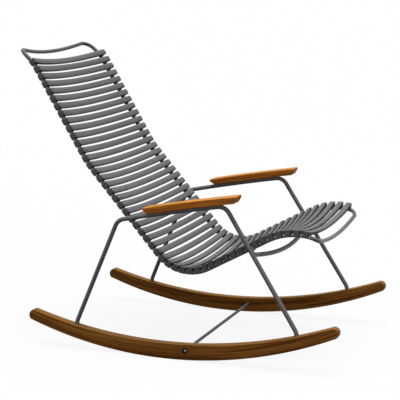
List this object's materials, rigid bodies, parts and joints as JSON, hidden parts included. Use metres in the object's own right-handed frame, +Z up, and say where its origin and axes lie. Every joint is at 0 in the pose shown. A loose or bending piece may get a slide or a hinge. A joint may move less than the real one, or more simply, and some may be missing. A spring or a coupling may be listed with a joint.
{
  "type": "rocking chair",
  "caption": "Rocking chair with bowed plastic slats snapped on an S-shaped bent-bar seat frame, bent-bar side frames, flat wooden armrests and curved wooden runners.",
  "frame": {"origin": "on the floor, at the middle of the chair's overall length and width; the runners rest on the line just behind it", "axes": "+X towards the front of the chair, +Y towards its left side, +Z up"},
  "size_m": [1.0204, 0.6086, 0.8761],
  "materials": {
    "slat_plastic": "fine moulded texture, satin",
    "bar_coating": "dark grey powder coat",
    "runner_wood": "oiled",
    "armrest_wood": "oiled",
    "bolt_steel": "plain"
  },
  "bodies": {
    "root": {"runner_right": "runner_wood", "runner_left": "runner_wood", "side_frame_right": "bar_coating", "side_frame_left": "bar_coating", "armrest_right": "armrest_wood", "armrest_left": "armrest_wood", "seat_frame": "bar_coating", "seat_crossbar": "bar_coating", "stretcher_rod": "bar_coating", "stretcher_bolt_right": "bolt_steel", "stretcher_bolt_left": "bolt_steel", "slat_01": "slat_plastic", "slat_02": "slat_plastic", "slat_03": "slat_plastic", "slat_04": "slat_plastic", "slat_05": "slat_plastic", "slat_06": "slat_plastic", "slat_07": "slat_plastic", "slat_08": "slat_plastic", "slat_09": "slat_plastic", "slat_10": "slat_plastic", "slat_11": "slat_plastic", "slat_12": "slat_plastic", "slat_13": "slat_plastic", "slat_14": "slat_plastic", "slat_15": "slat_plastic", "slat_16": "slat_plastic", "slat_17": "slat_plastic", "slat_18": "slat_plastic", "slat_19": "slat_plastic", "slat_20": "slat_plastic", "slat_21": "slat_plastic", "slat_22": "slat_plastic", "slat_23": "slat_plastic", "slat_24": "slat_plastic", "slat_25": "slat_plastic", "slat_26": "slat_plastic", "slat_27": "slat_plastic", "slat_28": "slat_plastic", "slat_29": "slat_plastic", "slat_30": "slat_plastic", "slat_31": "slat_plastic", "slat_32": "slat_plastic", "slat_33": "slat_plastic", "slat_34": "slat_plastic", "slat_35": "slat_plastic", "slat_36": "slat_plastic", "slat_37": "slat_plastic", "slat_38": "slat_plastic", "slat_39": "slat_plastic", "slat_40": "slat_plastic", "slat_41": "slat_plastic", "slat_42": "slat_plastic", "slat_43": "slat_plastic", "slat_44": "slat_plastic", "slat_45": "slat_plastic", "slat_46": "slat_plastic", "slat_47": "slat_plastic", "slat_48": "slat_plastic"}
  },
  "joints": []
}
